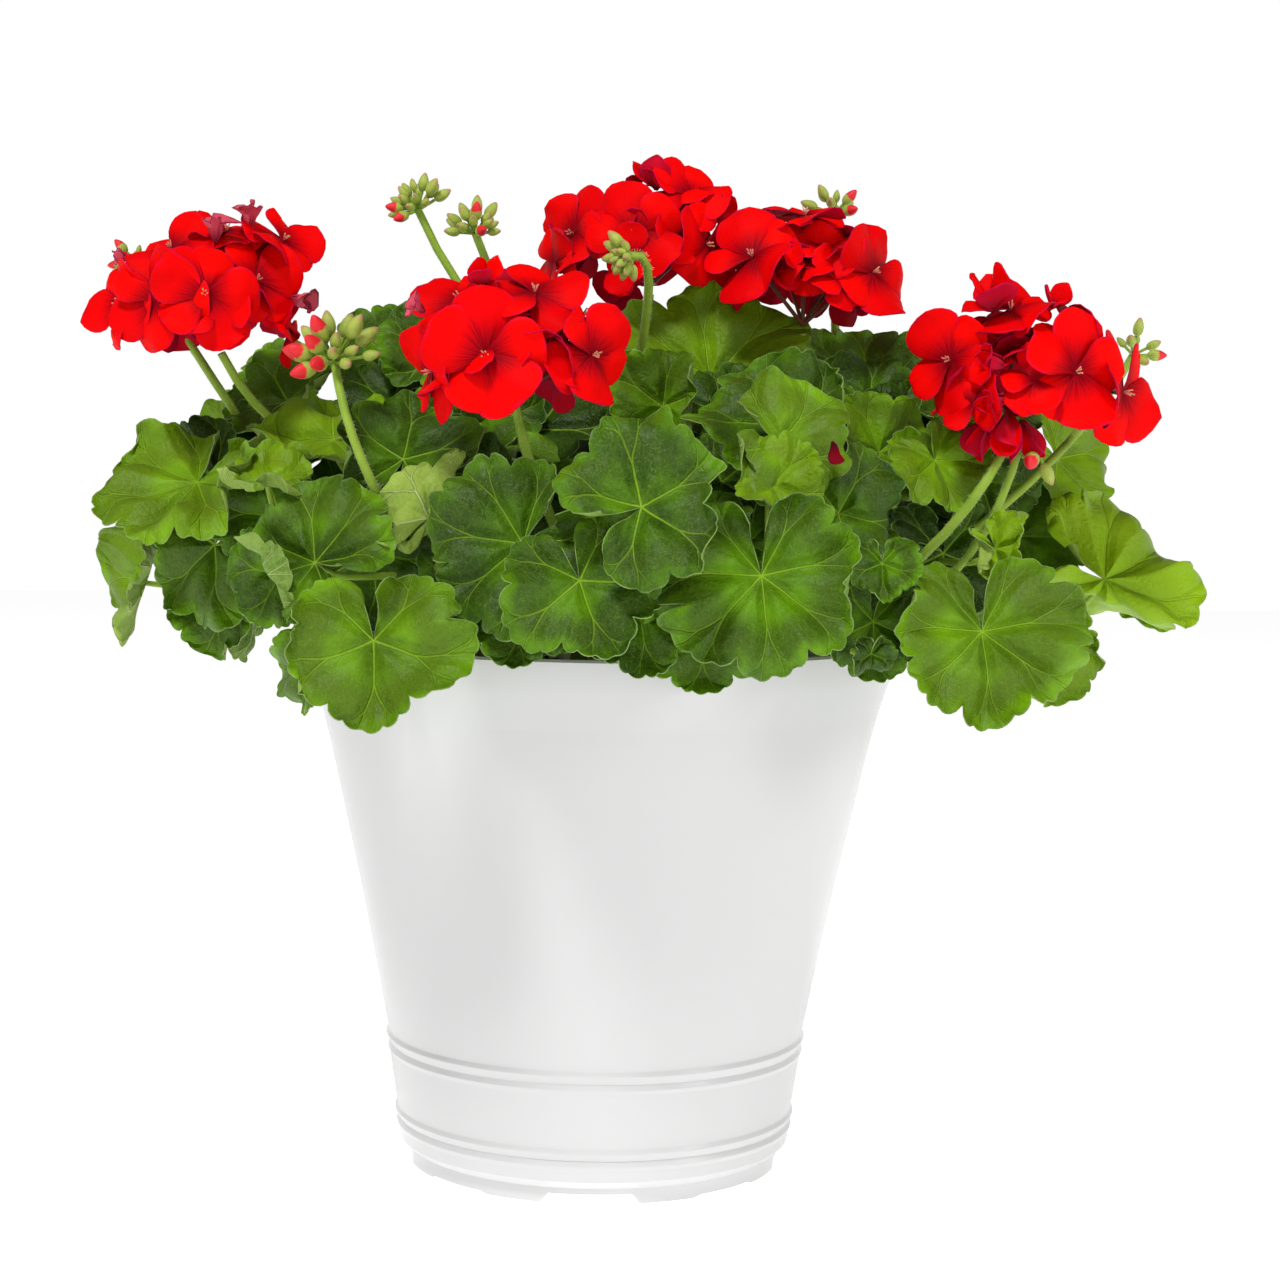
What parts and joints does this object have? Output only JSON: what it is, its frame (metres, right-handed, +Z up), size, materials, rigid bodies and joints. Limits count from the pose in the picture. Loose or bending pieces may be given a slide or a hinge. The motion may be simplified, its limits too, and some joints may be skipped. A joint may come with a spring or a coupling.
{
  "type": "potted geranium",
  "caption": "Bushy zonal geranium with scalloped leaves and red flower heads, growing in a tapered glossy white plastic pot filled with soil.",
  "frame": {"origin": "middle of the pot's base, on the plane it stands on", "axes": "+Z up along the pot's axis, -Y towards the plant's front, +X to the viewer's right from the front"},
  "size_m": [0.4663, 0.3612, 0.4259],
  "materials": {
    "pot": "glossy white moulded plastic",
    "soil": "dark moist potting soil, rough and crumbly",
    "leaves": "living leaf, soft satin with fine hairs, lighter veins",
    "petals": "velvety scarlet petal",
    "dark_petal": "fading dark red petal"
  },
  "bodies": {
    "root": {"pot": "pot", "soil": "soil", "stem_front_left": "leaves", "stem_back_left": "leaves", "stem_front": "leaves", "stem_middle": "leaves", "stem_front_right": "leaves", "stem_back_right": "leaves", "stem_back": "leaves", "flower_left": "petals", "flower_middle": "petals", "flower_top": "petals", "flower_right": "petals", "flower_far_right": "petals", "fallen_petal": "dark_petal"}
  },
  "joints": []
}
